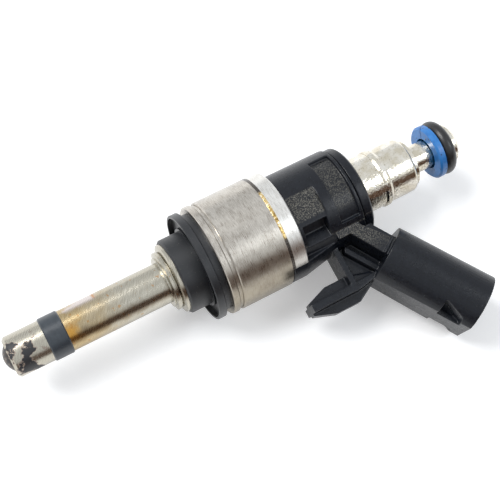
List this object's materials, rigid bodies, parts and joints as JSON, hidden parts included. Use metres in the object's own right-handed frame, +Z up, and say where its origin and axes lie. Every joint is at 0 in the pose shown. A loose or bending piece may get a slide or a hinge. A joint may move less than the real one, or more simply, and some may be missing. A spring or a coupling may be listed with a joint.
{
  "type": "fuel injector",
  "caption": "Solenoid fuel injector for direct injection: slim stem with tip seal, magnet housing, plastic body with angled connector and locating finger, inlet neck with O-ring.",
  "frame": {"origin": "on the injector's axis, where the slim stem meets its stepped collar", "axes": "+X along the axis from the spray tip to the fuel inlet, +Z up as it lies on its side, -Y to the side of the connector"},
  "size_m": [0.0902, 0.0428, 0.0208],
  "materials": {
    "stem_steel": "ground stainless steel with heat tint",
    "tip_steel": "bright steel with carbon deposits",
    "ptfe": "dark filled PTFE, satin",
    "black_rubber": "black elastomer",
    "black_steel": "black phosphated steel",
    "housing_steel": "turned and brushed steel",
    "yoke_steel": "turned bright steel",
    "weld": "heat-tinted laser weld",
    "body_plastic": "black glass-filled polyamide",
    "contact_tin": "tinned bronze",
    "lead_brass": "tinned brass",
    "bobbin_plastic": "natural polyamide",
    "copper": "enamelled copper wire",
    "core_steel": "chromed soft magnetic steel",
    "spring_steel": "spring steel wire",
    "valve_steel": "hardened polished steel",
    "plated_tube": "bright tin-nickel plating",
    "filter_plastic": "natural polyamide mesh",
    "blue_ptfe": "blue filled PTFE",
    "oring_rubber": "black fluoro rubber"
  },
  "bodies": {
    "injector_body": {"valve_seat": "tip_steel", "needle_guide": "valve_steel", "nozzle_tube": "stem_steel", "tip_seal": "ptfe", "damping_collar": "black_rubber", "support_ring": "black_steel", "lower_flange": "housing_steel", "magnet_housing": "housing_steel", "upper_yoke": "yoke_steel", "housing_weld": "weld", "overmould": "body_plastic", "contact_blades": "contact_tin", "lead_pins": "lead_brass", "coil_bobbin": "bobbin_plastic", "coil_winding": "copper", "valve_sleeve": "core_steel", "pole_piece": "core_steel", "adjusting_sleeve": "valve_steel", "return_spring": "spring_steel", "armature_spring": "spring_steel", "inlet_tube": "plated_tube", "inlet_fitting": "plated_tube", "inlet_filter": "filter_plastic", "backup_ring": "blue_ptfe", "inlet_o_ring": "oring_rubber"},
    "needle_body": {"needle": "valve_steel", "valve_ball": "valve_steel", "upper_stop_ring": "valve_steel", "lower_stop_ring": "valve_steel"},
    "armature_body": {"armature": "core_steel"}
  },
  "joints": [
    {"name": "needle_lift", "type": "slide", "parent": "injector_body", "child": "needle_body", "axis": [1, 0, 0], "range_m": [0, 0.00008], "stiffness_N_per_m": 30000, "deforming": ["return_spring"]},
    {"name": "armature_travel", "type": "slide", "parent": "needle_body", "child": "armature_body", "axis": [1, 0, 0], "range_m": [0, 0.00006], "stiffness_N_per_m": 2000, "deforming": ["armature_spring"]}
  ]
}
